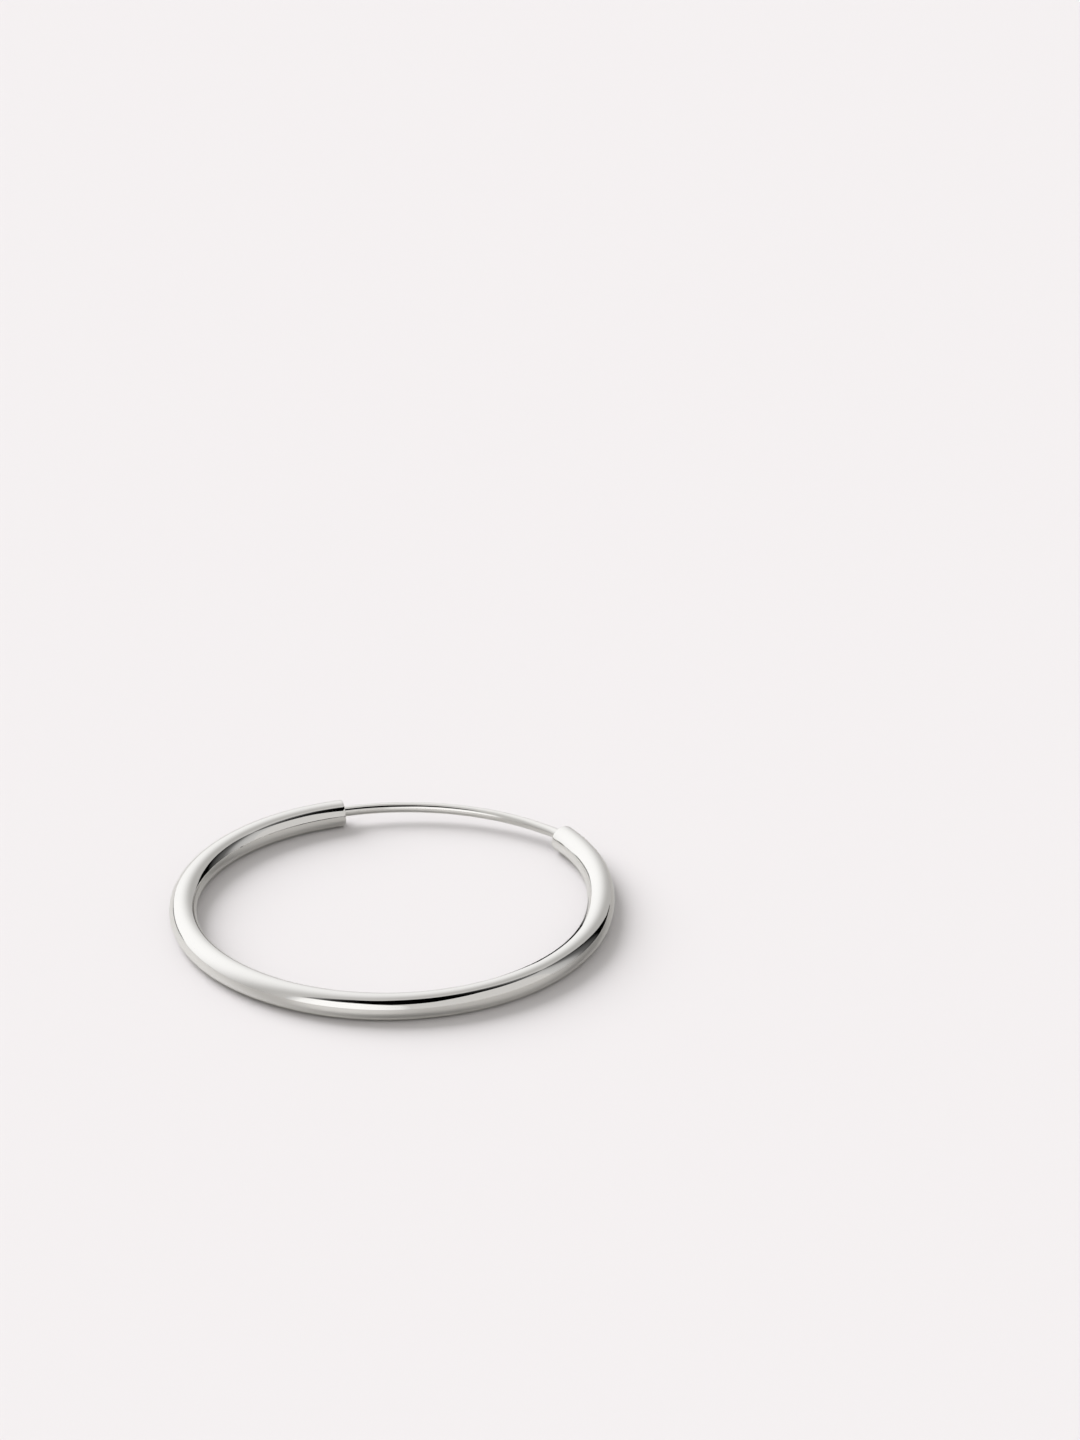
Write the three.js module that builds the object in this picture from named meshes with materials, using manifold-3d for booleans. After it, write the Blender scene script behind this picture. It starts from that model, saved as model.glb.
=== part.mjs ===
// Continuous hoop earring. A hollow round tube is bent into a C, and a thin springy
// ear wire crosses its gap. The wire is held in a plug pressed into one end of the
// tube, and its tip is pushed into the open bore of the other end.
// Millimetres, +Z up. The hoop lies flat on its side with its gap towards +Y.
import * as THREE from 'three';
import { mergeVertices } from 'three/addons/utils/BufferGeometryUtils.js';
import Module from 'manifold-3d';

// The hoop's own sizes.
const OUTER_DIAMETER = 32;
const TUBE_DIAMETER = 1.96; // a 2 mm tube, less what polishing takes off
const WALL = 0.2;
const GAP_ANGLE = 69.2; // degrees of the hoop left open between the two mouths

// The free arm is sprung back a little, over one eased stretch of its bend.
const FREE_ARM_ANGLE = 29.1; // degrees from the free mouth to the eased stretch
const EASED_ANGLE = 16; // degrees of bend in that stretch
const SPRING_BACK = 1.66; // extra length that the eased stretch takes

// The ear wire and the plug that holds it.
const WIRE_DIAMETER = 0.75;
const WIRE_FLATTENING = 0.42; // how far the wire's bow stays inside the hoop's own circle
const WIRE_TAIL = 0.35; // wire showing behind the plug, inside the tube
const TIP_INSERTION = 3.2; // wire inside the free arm
const PLUG_LENGTH = 1.5;
const PLUG_RECESS = 0.12; // the plug's face lies this far inside the mouth
const BORE_CLEARANCE = 0.05; // least gap between the wire and the tube's bore
const PLUG_CLEARANCE = 0.03; // gap of the plug in the bore, and of the wire in the plug

// How finely the curves are divided.
const TUBE_SIDES = 24;
const BORE_SIDES = 16;
const WIRE_SIDES = 12;
const TUBE_STEPS = 92;
const WIRE_STEPS = 64;
const PLUG_STEPS = 4;
const BOW_POINTS = 7;

const POLISHED_METAL = { color: 0xe8e6e3, metalness: 1, roughness: 0.08 };
const DRAWN_WIRE = { color: 0xe6e4e0, metalness: 1, roughness: 0.12 };
const TURNED_PLUG = { color: 0xc9c7c4, metalness: 1, roughness: 0.28 };

// Where the wire runs inside the two arms. Depth is a share of the length held there,
// and side (+ is outward) and rise are shares of the room that the bore leaves it.
const WIRE_IN_FIXED_ARM = [
  { depth: 1.0, side: 0.0, rise: 0.35 },
  { depth: 0.5, side: 0.05, rise: 0.35 },
  { depth: 0.0, side: 0.0, rise: 0.35 },
];
const WIRE_IN_FREE_ARM = [
  { depth: 0.0, side: 0.1, rise: 0.35 },
  { depth: 0.4, side: 0.4, rise: 0.3 },
  { depth: 1.0, side: 0.45, rise: 0.1 },
];

const bendRadius = (OUTER_DIAMETER - TUBE_DIAMETER) / 2;
const midHeight = TUBE_DIAMETER / 2;
const boreDiameter = TUBE_DIAMETER - 2 * WALL;
const roomInBore = (boreDiameter - WIRE_DIAMETER) / 2 - BORE_CLEARANCE;
const UP = new THREE.Vector3(0, 0, 1);

function compass(degrees) {
  const angle = THREE.MathUtils.degToRad(degrees);
  return new THREE.Vector3(Math.cos(angle), Math.sin(angle), 0);
}

// The tube's centreline: level arcs that run on smoothly from one another, from the
// fixed mouth counter-clockwise round to the free mouth.
class ArcChain extends THREE.Curve {
  constructor(startDegrees, rows) {
    super();
    this.arcs = [];
    const centre = new THREE.Vector3(0, 0, midHeight);
    let degrees = startDegrees;
    let start = 0;
    let lastRadius = rows[0].radius;
    for (const { turn, radius } of rows) {
      centre.addScaledVector(compass(degrees), lastRadius - radius);
      const length = THREE.MathUtils.degToRad(turn) * radius;
      this.arcs.push({ centre: centre.clone(), degrees, turn, radius, start, length });
      degrees += turn;
      start += length;
      lastRadius = radius;
    }
    this.length = start;
  }

  // The point and the outward direction at a distance along the tube.
  at(distance) {
    const arc = this.arcs.findLast((item) => item.start <= distance) ?? this.arcs[0];
    const share = (distance - arc.start) / arc.length;
    const outward = compass(arc.degrees + share * arc.turn);
    return { point: arc.centre.clone().addScaledVector(outward, arc.radius), outward };
  }

  getPoint(share) {
    return this.at(share * this.length).point;
  }
}

// A stretch of another path, between two distances along it.
class Stretch extends THREE.Curve {
  constructor(path, from, to) {
    super();
    this.path = path;
    this.from = from;
    this.to = to;
  }

  getPoint(share) {
    return this.path.at(this.from + share * (this.to - this.from)).point;
  }
}

// Frames that keep a swept section upright, so that its flats lie level all round.
function uprightFrames(curve, steps) {
  const frames = { tangents: [], normals: [], binormals: [] };
  for (let i = 0; i <= steps; i += 1) {
    const tangent = curve.getTangentAt(i / steps);
    const side = new THREE.Vector3().crossVectors(UP, tangent).normalize();
    frames.tangents.push(tangent);
    frames.normals.push(side);
    frames.binormals.push(new THREE.Vector3().crossVectors(tangent, side));
  }
  return frames;
}

// A round outline of flats whose middles lie on the diameter, with one flat at the
// bottom, the top and each side.
function roundPoints(diameter, sides) {
  const reach = diameter / 2 / Math.cos(Math.PI / sides);
  const points = [];
  for (let i = 0; i < sides; i += 1) {
    const angle = ((i + 0.5) * 2 * Math.PI) / sides;
    points.push(new THREE.Vector2(reach * Math.cos(angle), reach * Math.sin(angle)));
  }
  return points;
}

function sweep(shape, curve, steps) {
  curve.computeFrenetFrames = (segments) => uprightFrames(curve, segments);
  return new THREE.ExtrudeGeometry(shape, { steps, extrudePath: curve, bevelEnabled: false });
}

const wasm = await Module();
wasm.setup();

function toSolid(geometry) {
  const bare = geometry.clone();
  bare.deleteAttribute('normal');
  bare.deleteAttribute('uv');
  const merged = mergeVertices(bare, 1e-5);
  return new wasm.Manifold(new wasm.Mesh({
    numProp: 3,
    vertProperties: new Float32Array(merged.attributes.position.array),
    triVerts: new Uint32Array(merged.index.array),
  }));
}

function toGeometry(solid) {
  const mesh = solid.getMesh();
  const geometry = new THREE.BufferGeometry();
  geometry.setAttribute('position', new THREE.BufferAttribute(mesh.vertProperties, 3));
  geometry.setIndex(new THREE.BufferAttribute(mesh.triVerts, 1));
  geometry.computeVertexNormals();
  return geometry;
}

function makeTubePath() {
  const easedTurn = THREE.MathUtils.degToRad(EASED_ANGLE);
  const mainTurn = 360 - GAP_ANGLE - FREE_ARM_ANGLE - EASED_ANGLE;
  return new ArcChain(90 + GAP_ANGLE / 2, [
    { turn: mainTurn, radius: bendRadius },
    { turn: EASED_ANGLE, radius: bendRadius + SPRING_BACK / easedTurn },
    { turn: FREE_ARM_ANGLE, radius: bendRadius },
  ]);
}

// The C-shaped tube, cut square at both mouths and open through its bore.
function makeTube(path) {
  const section = new THREE.Shape(roundPoints(TUBE_DIAMETER, TUBE_SIDES));
  section.holes.push(new THREE.Path(roundPoints(boreDiameter, BORE_SIDES)));
  return sweep(section, path, TUBE_STEPS);
}

// A point of the wire inside an arm, leaning towards one side of the bore.
function pointInBore(path, distance, side, rise) {
  const { point, outward } = path.at(distance);
  return point.addScaledVector(outward, side * roomInBore).addScaledVector(UP, rise * roomInBore);
}

// The wire's bow across the gap: one arc, flatter than the hoop's own circle.
function bowPoints(from, to) {
  const half = from.distanceTo(to) / 2;
  const gapTurn = THREE.MathUtils.degToRad(GAP_ANGLE / 2);
  const rise = bendRadius * (1 - Math.cos(gapTurn)) - WIRE_FLATTENING;
  const radius = (half * half + rise * rise) / (2 * rise);
  const along = to.clone().sub(from).normalize();
  const outward = new THREE.Vector3().crossVectors(UP, along);
  const centre = from.clone().add(to).multiplyScalar(0.5).addScaledVector(outward, rise - radius);
  const reach = Math.asin(half / radius);
  const points = [];
  for (let i = 1; i <= BOW_POINTS; i += 1) {
    const angle = reach * ((2 * i) / (BOW_POINTS + 1) - 1);
    points.push(centre.clone()
      .addScaledVector(outward, radius * Math.cos(angle))
      .addScaledVector(along, radius * Math.sin(angle)));
  }
  return points;
}

function makeWirePath(path) {
  const held = PLUG_RECESS + PLUG_LENGTH + WIRE_TAIL;
  const fixed = WIRE_IN_FIXED_ARM.map(({ depth, side, rise }) => (
    pointInBore(path, depth * held, side, rise)
  ));
  const free = WIRE_IN_FREE_ARM.map(({ depth, side, rise }) => (
    pointInBore(path, path.length - depth * TIP_INSERTION, side, rise)
  ));
  const bow = bowPoints(fixed.at(-1), free[0]);
  return new THREE.CatmullRomCurve3([...fixed, ...bow, ...free], false, 'centripetal');
}

// The round wire, cut square at both ends, which lie out of sight in the tube.
function makeWire(wirePath) {
  const section = new THREE.Shape(roundPoints(WIRE_DIAMETER, WIRE_SIDES));
  return sweep(section, wirePath, WIRE_STEPS);
}

// The plug fills the bore just inside the fixed mouth and is drilled along the wire.
function makePlug(path, wirePath) {
  const section = new THREE.Shape(roundPoints(boreDiameter - 2 * PLUG_CLEARANCE, BORE_SIDES));
  const seat = new Stretch(path, PLUG_RECESS, PLUG_RECESS + PLUG_LENGTH);
  const hole = new THREE.Shape(roundPoints(WIRE_DIAMETER + 2 * PLUG_CLEARANCE, WIRE_SIDES));
  const body = toSolid(sweep(section, seat, PLUG_STEPS));
  return toGeometry(body.subtract(toSolid(sweep(hole, wirePath, WIRE_STEPS))));
}

function addPiece(group, name, geometry, finish) {
  const mesh = new THREE.Mesh(geometry, new THREE.MeshStandardMaterial(finish));
  mesh.name = name;
  group.add(mesh);
}

const tubePath = makeTubePath();
const wirePath = makeWirePath(tubePath);
const earring = new THREE.Group();
addPiece(earring, 'hoop_tube', makeTube(tubePath), POLISHED_METAL);
addPiece(earring, 'end_plug', makePlug(tubePath, wirePath), TURNED_PLUG);
addPiece(earring, 'ear_wire', makeWire(wirePath), DRAWN_WIRE);

// The origin is the middle of the whole earring's box, on the surface it lies on.
const box = new THREE.Box3().setFromObject(earring);
const middle = box.getCenter(new THREE.Vector3());
earring.position.set(-middle.x, -middle.y, -box.min.z);
earring.updateMatrixWorld(true);

export default earring;
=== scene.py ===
import math

import bpy
from mathutils import Matrix, Vector


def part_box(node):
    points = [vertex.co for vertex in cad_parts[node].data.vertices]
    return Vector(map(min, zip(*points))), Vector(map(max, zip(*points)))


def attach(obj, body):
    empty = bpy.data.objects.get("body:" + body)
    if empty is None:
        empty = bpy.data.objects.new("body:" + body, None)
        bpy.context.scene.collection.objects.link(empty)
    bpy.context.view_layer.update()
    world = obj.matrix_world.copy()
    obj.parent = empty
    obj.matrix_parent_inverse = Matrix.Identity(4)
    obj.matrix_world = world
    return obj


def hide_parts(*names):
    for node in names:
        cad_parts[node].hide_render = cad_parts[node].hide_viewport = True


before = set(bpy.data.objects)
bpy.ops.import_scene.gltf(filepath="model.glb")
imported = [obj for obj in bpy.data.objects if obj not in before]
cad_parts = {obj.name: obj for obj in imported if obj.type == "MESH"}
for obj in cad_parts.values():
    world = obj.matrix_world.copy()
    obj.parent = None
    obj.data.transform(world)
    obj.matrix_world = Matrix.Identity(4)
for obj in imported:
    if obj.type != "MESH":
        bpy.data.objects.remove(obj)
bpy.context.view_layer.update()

# The hoop is one length of thin hollow silver tube. It is bent round a former, cut
# square at both ends and polished bright. One arm springs back a little, so the bend
# eases over a short stretch before it.
MM = 0.001
HOOP_DIAMETER = 32 * MM
TUBE_DIAMETER = 1.96 * MM
TUBE_WALL = 0.2 * MM
GAP_ANGLE = math.radians(69.2)
FREE_ARM_ANGLE = math.radians(29.1)
EASED_ANGLE = math.radians(16)
SPRING_BACK = 1.66 * MM
MOUTH_ROUNDING = 0.045 * MM
TUBE_SIDES = 72
TUBE_STATIONS = 440
POLISHED_TUBE = (0.945, 0.938, 0.925, 1)
POLISHED_ROUGHNESS = 0.045
POLISHED_WAVE_DEPTH = 0.6e-6
POLISHED_LINE_DEPTH = 0.05e-6
# How fine the marks in polished silver are, for each metre of metal.
BLOOM_SCALE = 420.0
WAVE_SCALE = 300.0
LINE_SCALE_ALONG = 500.0
LINE_SCALE_ACROSS = 26000.0
BLOOM_TINT = 0.975

bend_radius = (HOOP_DIAMETER - TUBE_DIAMETER) / 2
tube_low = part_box("hoop_tube")[0]
hoop_centre = Vector((
    tube_low.x + HOOP_DIAMETER / 2,
    tube_low.y + HOOP_DIAMETER / 2,
    TUBE_DIAMETER / 2,
))


def level(angle):
    """The level direction at an angle, counter-clockwise from +X."""
    return Vector((math.cos(angle), math.sin(angle), 0))


def bend_hoop():
    """The hoop's bends from the fixed mouth to the free one, and its whole length."""
    main_turn = math.tau - GAP_ANGLE - FREE_ARM_ANGLE - EASED_ANGLE
    eased_radius = bend_radius + SPRING_BACK / EASED_ANGLE
    angle = (math.pi + GAP_ANGLE) / 2
    centre = hoop_centre.copy()
    last_radius = bend_radius
    start = 0
    bends = []
    for turn, radius in (
        (main_turn, bend_radius),
        (EASED_ANGLE, eased_radius),
        (FREE_ARM_ANGLE, bend_radius),
    ):
        centre = centre + level(angle) * (last_radius - radius)
        bends.append({"start": start, "angle": angle, "radius": radius, "centre": centre})
        angle += turn
        start += turn * radius
        last_radius = radius
    return bends, start


hoop_bends, hoop_length = bend_hoop()


def along_hoop(distance):
    """The tube's middle and its outward direction, at a distance from the fixed mouth."""
    bend = [item for item in hoop_bends if item["start"] <= distance][-1]
    outward = level(bend["angle"] + (distance - bend["start"]) / bend["radius"])
    return bend["centre"] + outward * bend["radius"], outward


def add_node(tree, kind, inputs=None, **settings):
    """Adds a node. Each input is another node's socket to link, or a value to set."""
    node = tree.nodes.new(kind)
    for name, value in settings.items():
        setattr(node, name, value)
    for key, value in (inputs or {}).items():
        if isinstance(value, bpy.types.NodeSocket):
            tree.links.new(value, node.inputs[key])
        else:
            node.inputs[key].default_value = value
    return node


def drawn_metal_tree():
    """Sweeps a round section upright along a curve, and keeps for every point its place
    in the straight length that the metal had before it was bent."""
    tree = bpy.data.node_groups.new("drawn_metal", "GeometryNodeTree")
    for name, kind in (
        ("Centreline", "NodeSocketGeometry"),
        ("Diameter", "NodeSocketFloat"),
        ("Sides", "NodeSocketInt"),
        ("Stations", "NodeSocketInt"),
        ("Closed Ends", "NodeSocketBool"),
        ("Metal", "NodeSocketMaterial"),
    ):
        tree.interface.new_socket(name=name, in_out="INPUT", socket_type=kind)
    tree.interface.new_socket(name="Drawn Metal", in_out="OUTPUT", socket_type="NodeSocketGeometry")
    given = tree.nodes.new("NodeGroupInput").outputs

    line = add_node(tree, "GeometryNodeResampleCurve", {
        "Curve": given["Centreline"], "Count": given["Stations"]})
    upright = add_node(tree, "GeometryNodeSetCurveNormal", {"Curve": line.outputs[0]}, mode="Z_UP")
    distance = add_node(tree, "GeometryNodeSplineParameter")
    measured = add_node(tree, "GeometryNodeStoreNamedAttribute", {
        "Geometry": upright.outputs[0], "Name": "along", "Value": distance.outputs["Length"]},
        data_type="FLOAT", domain="POINT")

    radius = add_node(tree, "ShaderNodeMath", {
        0: given["Diameter"], 1: 0.5}, operation="MULTIPLY")
    section = add_node(tree, "GeometryNodeCurvePrimitiveCircle", {
        "Resolution": given["Sides"], "Radius": radius.outputs[0]}, mode="RADIUS")
    place = add_node(tree, "GeometryNodeInputPosition")
    marked = add_node(tree, "GeometryNodeStoreNamedAttribute", {
        "Geometry": section.outputs[0], "Name": "across", "Value": place.outputs[0]},
        data_type="FLOAT_VECTOR", domain="POINT")

    swept = add_node(tree, "GeometryNodeCurveToMesh", {
        "Curve": measured.outputs[0], "Profile Curve": marked.outputs[0],
        "Fill Caps": given["Closed Ends"]})
    along = add_node(tree, "GeometryNodeInputNamedAttribute", {"Name": "along"}, data_type="FLOAT")
    across = add_node(tree, "GeometryNodeInputNamedAttribute", {"Name": "across"},
                      data_type="FLOAT_VECTOR")
    parts = add_node(tree, "ShaderNodeSeparateXYZ", {"Vector": across.outputs[0]})
    straight = add_node(tree, "ShaderNodeCombineXYZ", {
        "X": along.outputs[0], "Y": parts.outputs["X"], "Z": parts.outputs["Y"]})
    kept = add_node(tree, "GeometryNodeStoreNamedAttribute", {
        "Geometry": swept.outputs[0], "Name": "straight", "Value": straight.outputs[0]},
        data_type="FLOAT_VECTOR", domain="POINT")
    smooth = add_node(tree, "GeometryNodeSetShadeSmooth", {"Geometry": kept.outputs[0]})
    real = add_node(tree, "GeometryNodeRealizeInstances", {"Geometry": smooth.outputs[0]})
    finished = add_node(tree, "GeometryNodeSetMaterial", {
        "Geometry": real.outputs[0], "Material": given["Metal"]})
    add_node(tree, "NodeGroupOutput", {"Drawn Metal": finished.outputs[0]})
    return tree


def draw_metal(name, centreline, sizes):
    """A plain mesh of the drawn_metal tree on a centreline, with the sizes given."""
    line = bpy.data.objects.new(name + "_line", centreline)
    bpy.context.collection.objects.link(line)
    sweep = line.modifiers.new("drawn_metal", "NODES")
    sweep.node_group = drawn_metal
    for item in drawn_metal.interface.items_tree:
        if item.name in sizes:
            sweep[item.identifier] = sizes[item.name]
    scene_now = bpy.context.evaluated_depsgraph_get()
    mesh = bpy.data.meshes.new_from_object(
        line.evaluated_get(scene_now), preserve_all_data_layers=True, depsgraph=scene_now)
    mesh.name = name
    bpy.data.objects.remove(line)
    piece = bpy.data.objects.new(name, mesh)
    bpy.context.collection.objects.link(piece)
    return piece


def bright_silver(name, colour, roughness, wave_depth, line_depth):
    """Polished silver: fine polishing lines along the metal, faint waves in its surface
    and a thin uneven bloom that dulls it a little in places."""
    metal = bpy.data.materials.new(name)
    metal.use_nodes = True
    tree = metal.node_tree
    shader = tree.nodes["Principled BSDF"]
    straight = add_node(tree, "ShaderNodeAttribute", attribute_name="straight")

    bloom = add_node(tree, "ShaderNodeTexNoise", {
        "Vector": straight.outputs["Vector"], "Scale": BLOOM_SCALE, "Detail": 5.0, "Roughness": 0.6})
    dulled = add_node(tree, "ShaderNodeMapRange", {
        "Value": bloom.outputs["Fac"], "From Min": 0.35, "From Max": 0.75,
        "To Min": roughness * 0.75, "To Max": roughness * 1.6})
    tint = add_node(tree, "ShaderNodeMix", {
        "Factor": bloom.outputs["Fac"],
        "A": colour, "B": tuple(c * BLOOM_TINT for c in colour[:3]) + (1,)}, data_type="RGBA")

    stretched = add_node(tree, "ShaderNodeMapping", {
        "Vector": straight.outputs["Vector"],
        "Scale": (LINE_SCALE_ALONG, LINE_SCALE_ACROSS, LINE_SCALE_ACROSS)})
    lines = add_node(tree, "ShaderNodeTexNoise", {
        "Vector": stretched.outputs[0], "Scale": 1.0, "Detail": 3.0, "Roughness": 0.55})
    waves = add_node(tree, "ShaderNodeTexNoise", {
        "Vector": straight.outputs["Vector"], "Scale": WAVE_SCALE, "Detail": 2.0})
    wavy = add_node(tree, "ShaderNodeBump", {
        "Height": waves.outputs["Fac"], "Strength": 1.0, "Distance": wave_depth})
    lined = add_node(tree, "ShaderNodeBump", {
        "Height": lines.outputs["Fac"], "Strength": 1.0, "Distance": line_depth,
        "Normal": wavy.outputs[0]})

    shader.inputs["Metallic"].default_value = 1.0
    tree.links.new(tint.outputs["Result"], shader.inputs["Base Color"])
    tree.links.new(dulled.outputs[0], shader.inputs["Roughness"])
    tree.links.new(lined.outputs[0], shader.inputs["Normal"])
    return metal


drawn_metal = drawn_metal_tree()
tube_line = bpy.data.curves.new("tube_line", "CURVE")
tube_line.dimensions = "3D"
tube_run = tube_line.splines.new("POLY")
tube_run.points.add(2 * TUBE_STATIONS)
for index, point in enumerate(tube_run.points):
    point.co = (*along_hoop(hoop_length * index / (2 * TUBE_STATIONS))[0], 1)
tube = draw_metal("polished_tube", tube_line, {
    "Diameter": TUBE_DIAMETER,
    "Sides": TUBE_SIDES,
    "Stations": TUBE_STATIONS,
    "Closed Ends": False,
    "Metal": bright_silver("bright_tube_silver", POLISHED_TUBE, POLISHED_ROUGHNESS,
                           POLISHED_WAVE_DEPTH, POLISHED_LINE_DEPTH),
})
wall = tube.modifiers.new("wall", "SOLIDIFY")
wall.thickness = TUBE_WALL
wall.offset = -1
wall.use_even_offset = True
mouths = tube.modifiers.new("mouths", "BEVEL")
mouths.width = MOUTH_ROUNDING
mouths.segments = 3
mouths.limit_method = "ANGLE"
mouths.angle_limit = math.radians(50)
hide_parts("hoop_tube")
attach(tube, "root")

# The ear wire is springy round silver wire. One end is held in the plug, it bows
# across the gap a little flatter than the hoop, and its tip is pushed into the bore.
WIRE_DIAMETER = 0.75 * MM
WIRE_FLATTENING = 0.42 * MM
WIRE_HELD = 1.97 * MM
TIP_INSERTION = 3.2 * MM
BORE_CLEARANCE = 0.05 * MM
WIRE_SIDES = 40
WIRE_STATIONS = 300
BOW_POINTS = 7
DRAWN_WIRE = (0.94, 0.932, 0.915, 1)
DRAWN_ROUGHNESS = 0.04
DRAWN_WAVE_DEPTH = 0.15e-6
DRAWN_LINE_DEPTH = 0.03e-6
# Where the wire runs inside the two arms: share of the length held there, then share
# of the room that the bore leaves it, outwards and upwards.
WIRE_IN_FIXED_ARM = ((1.0, 0.0, 0.35), (0.5, 0.05, 0.35), (0.0, 0.0, 0.35))
WIRE_IN_FREE_ARM = ((0.0, 0.1, 0.35), (0.4, 0.4, 0.3), (1.0, 0.45, 0.1))

bore_diameter = TUBE_DIAMETER - 2 * TUBE_WALL
room_in_bore = (bore_diameter - WIRE_DIAMETER) / 2 - BORE_CLEARANCE


def in_bore(distance, side, rise):
    """A point of the wire inside an arm."""
    middle, outward = along_hoop(distance)
    return middle + (outward * side + Vector((0, 0, rise))) * room_in_bore


def bow(start, end):
    """Points of the wire's bow between the mouths, on one arc."""
    half = (end - start).length / 2
    rise = bend_radius * (1 - math.cos(GAP_ANGLE / 2)) - WIRE_FLATTENING
    radius = (half * half + rise * rise) / (2 * rise)
    ahead = (end - start).normalized()
    outward = Vector((0, 0, 1)).cross(ahead)
    centre = (start + end) / 2 + outward * (rise - radius)
    reach = math.asin(half / radius)
    points = []
    for step in range(1, BOW_POINTS + 1):
        angle = reach * (2 * step / (BOW_POINTS + 1) - 1)
        points.append(centre + outward * radius * math.cos(angle) + ahead * radius * math.sin(angle))
    return points


wire_held_end = [in_bore(share * WIRE_HELD, side, rise) for share, side, rise in WIRE_IN_FIXED_ARM]
wire_tip_end = [
    in_bore(hoop_length - share * TIP_INSERTION, side, rise)
    for share, side, rise in WIRE_IN_FREE_ARM
]
wire_points = wire_held_end + bow(wire_held_end[-1], wire_tip_end[0]) + wire_tip_end
wire_line = bpy.data.curves.new("wire_line", "CURVE")
wire_line.dimensions = "3D"
wire_line.resolution_u = 48
wire_run = wire_line.splines.new("BEZIER")
wire_run.bezier_points.add(len(wire_points) - 1)
for knot, place in zip(wire_run.bezier_points, wire_points):
    knot.co = place
    knot.handle_left_type = "AUTO"
    knot.handle_right_type = "AUTO"
wire = draw_metal("silver_ear_wire", wire_line, {
    "Diameter": WIRE_DIAMETER,
    "Sides": WIRE_SIDES,
    "Stations": WIRE_STATIONS,
    "Closed Ends": True,
    "Metal": bright_silver("bright_wire_silver", DRAWN_WIRE, DRAWN_ROUGHNESS,
                           DRAWN_WAVE_DEPTH, DRAWN_LINE_DEPTH),
})
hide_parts("ear_wire")
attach(wire, "root")

# The plug is a short round slug of silver pressed into the fixed mouth, just below its
# rim. It is drilled along the wire, and its face keeps the fine rings of the tool.
PLUG_RECESS = 0.12 * MM
PLUG_LENGTH = 1.5 * MM
PLUG_CLEARANCE = 0.03 * MM
PLUG_CHAMFER = 0.04 * MM
PLUG_SIDES = 64
TURNED_PLUG = (0.86, 0.85, 0.83, 1)
TURNED_ROUGHNESS = 0.22
TOOL_RING_DEPTH = 0.5e-6
TOOL_RING_SCALE = 30000.0
GRIME_SCALE = 2500.0
GRIME_TINT = 0.85
# Rings round the plug: depth behind its face, share of the way from its rim to the
# hole, and how far the ring is drawn in or opened by a chamfer.
PLUG_RINGS = (
    (0.0, 0.0, PLUG_CHAMFER),
    (PLUG_CHAMFER, 0.0, 0.0),
    (PLUG_LENGTH * 0.35, 0.0, 0.0),
    (PLUG_LENGTH * 0.7, 0.0, 0.0),
    (PLUG_LENGTH - PLUG_CHAMFER, 0.0, 0.0),
    (PLUG_LENGTH, 0.0, PLUG_CHAMFER),
    (PLUG_LENGTH, 1.0, 0.0),
    (PLUG_LENGTH * 0.7, 1.0, 0.0),
    (PLUG_LENGTH * 0.35, 1.0, 0.0),
    (PLUG_CHAMFER / 2, 1.0, 0.0),
    (0.0, 1.0, PLUG_CHAMFER / 2),
    (0.0, 0.75, 0.0),
    (0.0, 0.5, 0.0),
    (0.0, 0.25, 0.0),
)


def wire_offset(distance):
    """How far the held wire lies outwards and upwards of the tube's middle."""
    deep, half_way, mouth = WIRE_IN_FIXED_ARM
    share = distance / WIRE_HELD
    near, far = (mouth, half_way) if share < half_way[0] else (half_way, deep)
    blend = (share - near[0]) / (far[0] - near[0])
    side = near[1] + (far[1] - near[1]) * blend
    rise = near[2] + (far[2] - near[2]) * blend
    return side * room_in_bore, rise * room_in_bore


def plug_mesh():
    """The drilled plug, as rings joined into one closed skin."""
    places = []
    straight = []
    for depth, share, chamfer in PLUG_RINGS:
        distance = PLUG_RECESS + depth
        middle, outward = along_hoop(distance)
        hole_side, hole_rise = wire_offset(distance)
        rim = bore_diameter / 2 - PLUG_CLEARANCE - (chamfer if share == 0 else 0)
        hole = WIRE_DIAMETER / 2 + PLUG_CLEARANCE + (chamfer if share == 1 else 0)
        for step in range(PLUG_SIDES):
            turn = math.tau * step / PLUG_SIDES
            radius = (1 - share) * rim + share * hole
            aside = share * hole_side + radius * math.cos(turn)
            above = share * hole_rise + radius * math.sin(turn)
            places.append(middle + outward * aside + Vector((0, 0, above)))
            straight.append((depth, aside - hole_side, above - hole_rise))
    faces = []
    rings = len(PLUG_RINGS)
    for ring in range(rings):
        for step in range(PLUG_SIDES):
            after = (step + 1) % PLUG_SIDES
            this, other = ring * PLUG_SIDES, (ring + 1) % rings * PLUG_SIDES
            faces.append((this + step, this + after, other + after, other + step))
    mesh = bpy.data.meshes.new("drilled_plug")
    mesh.from_pydata(places, [], faces)
    kept = mesh.attributes.new("straight", "FLOAT_VECTOR", "POINT")
    kept.data.foreach_set("vector", [value for row in straight for value in row])
    return mesh


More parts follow.
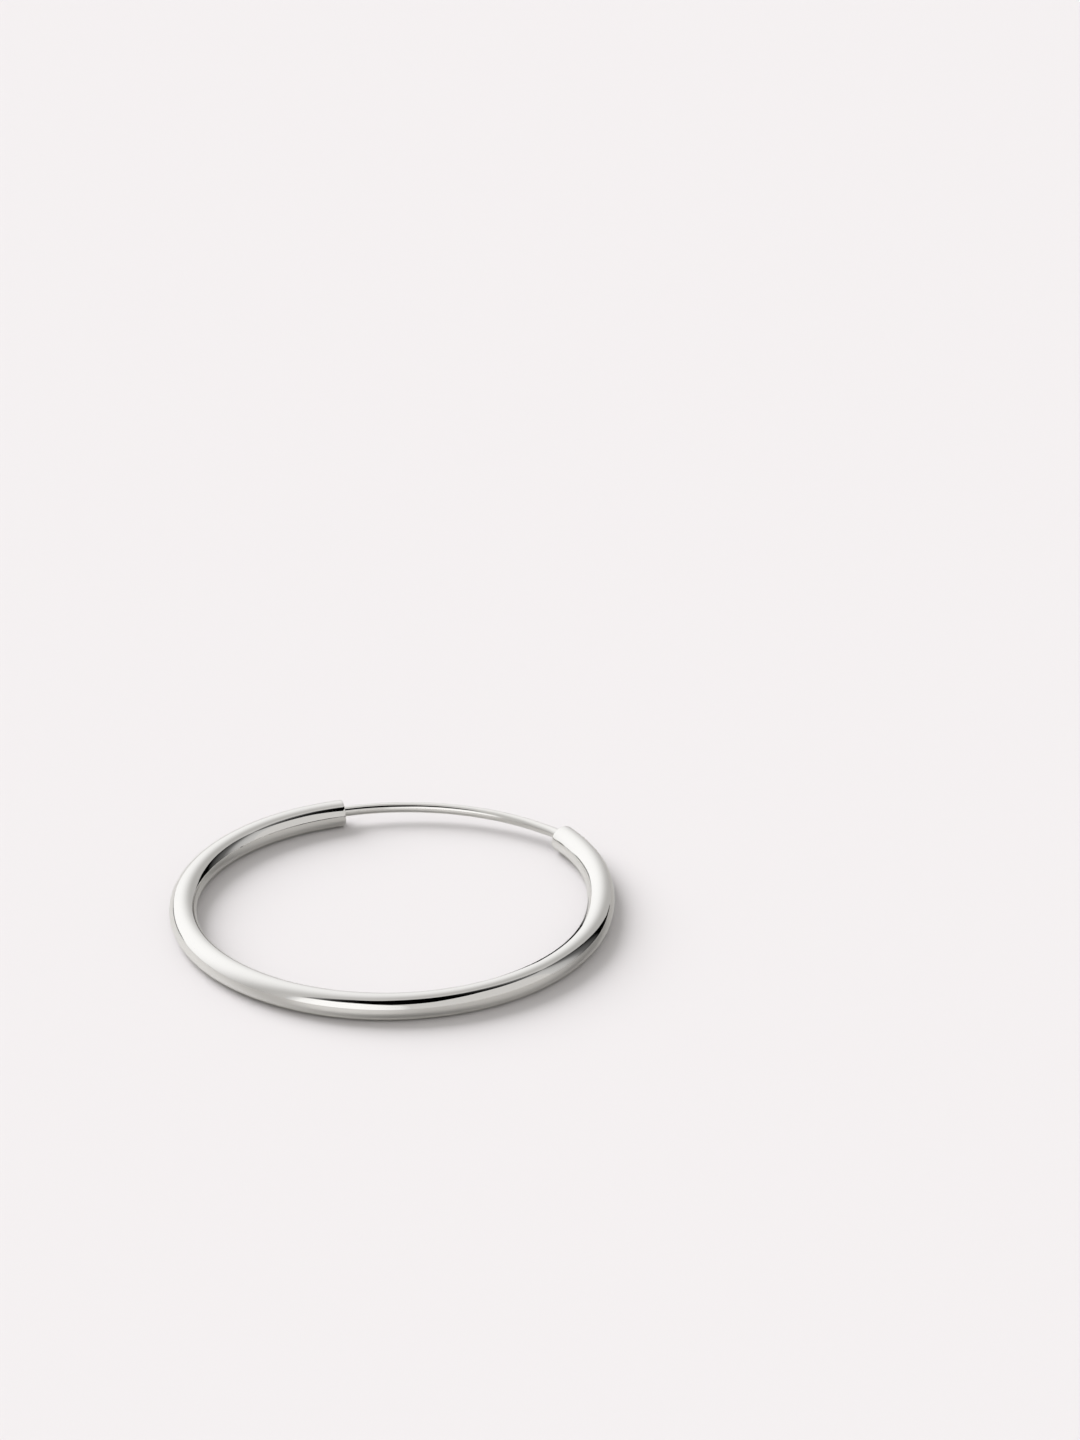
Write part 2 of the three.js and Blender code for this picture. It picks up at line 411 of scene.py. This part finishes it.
def turned_silver(name, colour, roughness, ring_depth):
    """Bare silver with the fine rings that a turning tool leaves round its hole."""
    metal = bpy.data.materials.new(name)
    metal.use_nodes = True
    tree = metal.node_tree
    shader = tree.nodes["Principled BSDF"]
    straight = add_node(tree, "ShaderNodeAttribute", attribute_name="straight")
    parts = add_node(tree, "ShaderNodeSeparateXYZ", {"Vector": straight.outputs["Vector"]})
    face = add_node(tree, "ShaderNodeCombineXYZ", {
        "X": parts.outputs["Y"], "Y": parts.outputs["Z"]})
    radius = add_node(tree, "ShaderNodeVectorMath", {0: face.outputs[0]}, operation="LENGTH")
    out = add_node(tree, "ShaderNodeCombineXYZ", {"X": radius.outputs["Value"]})
    rings = add_node(tree, "ShaderNodeTexNoise", {
        "Vector": out.outputs[0], "Scale": TOOL_RING_SCALE, "Detail": 2.0})
    cut = add_node(tree, "ShaderNodeBump", {
        "Height": rings.outputs["Fac"], "Strength": 1.0, "Distance": ring_depth})
    grime = add_node(tree, "ShaderNodeTexNoise", {
        "Vector": straight.outputs["Vector"], "Scale": GRIME_SCALE, "Detail": 4.0})
    dulled = add_node(tree, "ShaderNodeMapRange", {
        "Value": grime.outputs["Fac"], "From Min": 0.3, "From Max": 0.7,
        "To Min": roughness * 0.8, "To Max": roughness * 1.4})
    tint = add_node(tree, "ShaderNodeMix", {
        "Factor": grime.outputs["Fac"],
        "A": colour, "B": tuple(c * GRIME_TINT for c in colour[:3]) + (1,)}, data_type="RGBA")
    shader.inputs["Metallic"].default_value = 1.0
    tree.links.new(tint.outputs["Result"], shader.inputs["Base Color"])
    tree.links.new(dulled.outputs[0], shader.inputs["Roughness"])
    tree.links.new(cut.outputs[0], shader.inputs["Normal"])
    return metal


plug = bpy.data.objects.new("drilled_plug", plug_mesh())
bpy.context.collection.objects.link(plug)
plug.data.materials.append(
    turned_silver("turned_plug_silver", TURNED_PLUG, TURNED_ROUGHNESS, TOOL_RING_DEPTH))
plug.data.shade_smooth()
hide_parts("end_plug")
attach(plug, "root")

# The camera looks down on the hoop from in front through a long lens, turned a
# little, so that the gap lies at the back and to the right.
VIEW_TURN = math.radians(20.65)
VIEW_TILT = math.radians(27.29)
VIEW_ROLL = math.radians(-0.70)
VIEW_DISTANCE = 864.8 * MM
AIM_RIGHT = 10.71 * MM
AIM_UP = 13.45 * MM
LENS = 300

towards_camera = Vector((
    math.sin(VIEW_TURN) * math.cos(VIEW_TILT),
    -math.cos(VIEW_TURN) * math.cos(VIEW_TILT),
    math.sin(VIEW_TILT),
))
view_right = level(VIEW_TURN)
view_up = towards_camera.cross(view_right)
frame_right = view_right * math.cos(VIEW_ROLL) + view_up * math.sin(VIEW_ROLL)
frame_up = view_up * math.cos(VIEW_ROLL) - view_right * math.sin(VIEW_ROLL)
aim = hoop_centre + frame_right * AIM_RIGHT + frame_up * AIM_UP
lens_data = bpy.data.cameras.new("long_lens")
lens_data.lens = LENS
camera = bpy.data.objects.new("long_lens", lens_data)
axes = Matrix((frame_right, frame_up, towards_camera)).transposed().to_4x4()
camera.matrix_world = Matrix.Translation(aim + towards_camera * VIEW_DISTANCE) @ axes
bpy.context.collection.objects.link(camera)
bpy.context.scene.camera = camera

# It lies on a plain white sweep. From above it looks matt. The metal sees it from close
# by and at a low angle. For the rays that the metal mirrors, the floor is painted darker,
# a painted shade, and given a soft glossy sheen.
FLOOR_REACH = 4.0
FLOOR_WHITE = (0.748, 0.733, 0.740, 1)
# Painted shade: the darker floor colour, seen only in the metal's reflections.
MIRRORED_PAINTED_SHADE = (0.24, 0.23, 0.22, 1)
MIRRORED_SHEEN_SHARE = 0.71
SHEEN_TINT = (1, 0.99, 0.975, 1)
SHEEN_ROUGHNESS = 0.45

floor_mesh = bpy.data.meshes.new("white_sweep")
floor_mesh.from_pydata(
    [(x * FLOOR_REACH, y * FLOOR_REACH, 0) for x, y in ((-1, -1), (1, -1), (1, 1), (-1, 1))],
    [], [(0, 1, 2, 3)])
floor = bpy.data.objects.new("white_sweep", floor_mesh)
bpy.context.collection.objects.link(floor)
sweep_white = bpy.data.materials.new("sweep_white")
sweep_white.use_nodes = True
sweep_tree = sweep_white.node_tree
sweep_tree.nodes.clear()
matt = add_node(sweep_tree, "ShaderNodeBsdfDiffuse", {"Color": FLOOR_WHITE})
# Painted shade: the floor is darker only for rays that the metal mirrors, and it is mixed there with
# a real glossy sheen.
painted_mirror_shade = add_node(sweep_tree, "ShaderNodeBsdfDiffuse", {"Color": MIRRORED_PAINTED_SHADE})
mirrored_sheen = add_node(sweep_tree, "ShaderNodeBsdfGlossy", {
    "Color": SHEEN_TINT, "Roughness": SHEEN_ROUGHNESS})
painted_shade_and_sheen = add_node(sweep_tree, "ShaderNodeMixShader", {
    0: MIRRORED_SHEEN_SHARE, 1: painted_mirror_shade.outputs[0], 2: mirrored_sheen.outputs[0]})
mirrored = add_node(sweep_tree, "ShaderNodeLightPath").outputs["Is Glossy Ray"]
either_view = add_node(sweep_tree, "ShaderNodeMixShader", {
    0: mirrored, 1: matt.outputs[0], 2: painted_shade_and_sheen.outputs[0]})
add_node(sweep_tree, "ShaderNodeOutputMaterial", {"Surface": either_view.outputs[0]})
floor.data.materials.append(sweep_white)

# A white tent lights it: grey all round, bright where its left side behind the hoop is
# lit, and a little lighter on the camera's side.
TENT_GREY = (0.462, 0.453, 0.440, 1)
TENT_LIT = (0.575, 0.580, 0.585, 1)
TENT_FRONT = (0.170, 0.165, 0.160, 1)
UNLIT = (0, 0, 0, 1)


def tent_direction(bearing, height):
    """The direction at a bearing, clockwise from straight behind the hoop as the camera
    sees it, and a height above the floor, both in degrees."""
    bearing = math.radians(bearing)
    height = math.radians(height)
    behind = Vector((0, 0, 1)).cross(view_right)
    flat = behind * math.cos(bearing) + view_right * math.sin(bearing)
    return flat * math.cos(height) + Vector((0, 0, math.sin(height)))


tent = bpy.data.worlds.new("white_tent")
bpy.context.scene.world = tent
tent.use_nodes = True
tent_tree = tent.node_tree
outlook = add_node(tent_tree, "ShaderNodeTexCoord").outputs["Generated"]


def lit_side(bearing, height, outer, inner, colour):
    """A part of the tent that brightens smoothly from one angle off its middle to another."""
    facing = add_node(tent_tree, "ShaderNodeVectorMath", {
        0: outlook, 1: tent_direction(bearing, height)}, operation="DOT_PRODUCT")
    amount = add_node(tent_tree, "ShaderNodeMapRange", {
        "Value": facing.outputs["Value"],
        "From Min": math.cos(math.radians(outer)), "From Max": math.cos(math.radians(inner)),
    }, interpolation_type="SMOOTHSTEP")
    return add_node(tent_tree, "ShaderNodeMix", {
        "Factor": amount.outputs[0], "A": UNLIT, "B": colour,
    }, data_type="RGBA").outputs["Result"]


def together(first, second):
    """Both lights of the tent added up."""
    return add_node(tent_tree, "ShaderNodeMix", {
        "Factor": 1.0, "A": first, "B": second}, data_type="RGBA", blend_type="ADD").outputs["Result"]


lit_back = lit_side(bearing=-42, height=21, outer=69, inner=0, colour=TENT_LIT)
lit_front = lit_side(bearing=150, height=4, outer=104, inner=62, colour=TENT_FRONT)
tent_light = together(together(lit_back, lit_front), TENT_GREY)
tent_tree.links.new(tent_light, tent_tree.nodes["Background"].inputs["Color"])

# A broad soft lamp outside the tent, behind and to the left, gives the floor its white
# and the hoop its soft shadow.
LAMP_BEARING = -47
LAMP_HEIGHT = 34
LAMP_SPREAD = math.radians(47)
LAMP_STRENGTH = 3.1
LAMP_COLOUR = (1.0, 0.985, 1.0)

lamp_data = bpy.data.lights.new("soft_lamp", "SUN")
lamp_data.angle = LAMP_SPREAD
lamp_data.energy = LAMP_STRENGTH
lamp_data.color = LAMP_COLOUR
lamp = bpy.data.objects.new("soft_lamp", lamp_data)
lamp.rotation_mode = "QUATERNION"
lamp.rotation_quaternion = tent_direction(LAMP_BEARING, LAMP_HEIGHT).to_track_quat("Z", "Y")
lamp.visible_glossy = False
bpy.context.collection.objects.link(lamp)

# What else the metal mirrors: a dark card at the right, the dark opening above the
# camera that runs on from it, and a white card in front. They only show as
# reflections, and so do a low dark stretch at the back and a thin strip in the hoop.
CARD_DISTANCE = 0.8
INNER_LINE_DISTANCE = 13.7 * MM
CARD_TINT = (1, 0.99, 0.975, 1)
# Each row: bearing, then the lower and the upper edge above the floor, in degrees, and
# how bright that stretch is.
DARK_CARD = (
    (36, 0, 2, 0.02),
    (41, 0, 6, 0.0),
    (48, 0, 19, 0.0),
    (54, 0, 34, 0.0),
    (60, 0, 43, 0.05),
    (70, 0, 48, 0.12),
    (74, 0, 46, 0.21),
    (79, 0, 45, 0.39),
    (86, 0, 47, 0.5),
    (96, 0, 49, 0.575),
)
DARK_ARCH = (
    (70, 46, 48, 0.12),
    (84, 46, 70, 0.14),
    (92, 48, 72, 0.055),
    (102, 50, 75, 0.02),
    (120, 53, 77, 0.004),
    (132, 51, 79, 0.0),
    (156, 43, 80, 0.0),
    (168, 41, 80, 0.0),
    (180, 40, 79, 0.0),
    (192, 45, 77, 0.0),
    (204, 48, 75, 0.0),
    (216, 45, 73, 0.01),
    (222, 44, 72, 0.06),
    (232, 40, 60, 0.32),
)
WHITE_CARD = (
    (170, 0, 26, 0.6),
    (176, 0, 34, 0.87),
    (187, 0, 40, 1.0),
    (198, 0, 44, 1.05),
    (218, 0, 44, 1.05),
    (226, 0, 39, 0.97),
    (233, 0, 30, 0.55),
)
# The strip inside the hoop draws the fine line low down in the back arm's inner wall.
LOW_GAP = ((-58, 0, 1, 0.6), (-52, 0, 4, 0.15), (-34, 0, 4, 0.15), (-24, 0, 1, 0.6))
INNER_LINE = ((76, 0, 2, 0.5), (102, 0, 8, 0.03), (130, 0, 9, 0.03), (158, 0, 2, 0.5))


def card(name, rows, distance=CARD_DISTANCE):
    """An upright card bent round the scene, seen only in the metal."""
    places = []
    glows = []
    for bearing, low, high, glow in rows:
        for height in (low, high):
            places.append(tent_direction(bearing, height) * distance)
            glows.append(glow)
    faces = [(2 * i, 2 * i + 2, 2 * i + 3, 2 * i + 1) for i in range(len(rows) - 1)]
    mesh = bpy.data.meshes.new(name)
    mesh.from_pydata(places, [], faces)
    mesh.attributes.new("glow", "FLOAT", "POINT").data.foreach_set("value", glows)
    surface = bpy.data.materials.new(name)
    surface.use_nodes = True
    tree = surface.node_tree
    tree.nodes.clear()
    brightness = add_node(tree, "ShaderNodeAttribute", attribute_name="glow")
    shine = add_node(tree, "ShaderNodeEmission", {
        "Color": CARD_TINT, "Strength": brightness.outputs["Fac"]})
    add_node(tree, "ShaderNodeOutputMaterial", {"Surface": shine.outputs[0]})
    mesh.materials.append(surface)
    piece = bpy.data.objects.new(name, mesh)
    piece.visible_camera = False
    piece.visible_diffuse = False
    piece.visible_shadow = False
    bpy.context.collection.objects.link(piece)


card("dark_card", DARK_CARD)
card("dark_arch", DARK_ARCH)
card("white_card", WHITE_CARD)
card("low_gap", LOW_GAP)
card("inner_line", INNER_LINE, INNER_LINE_DISTANCE)

bpy.context.scene.view_settings.view_transform = "Standard"
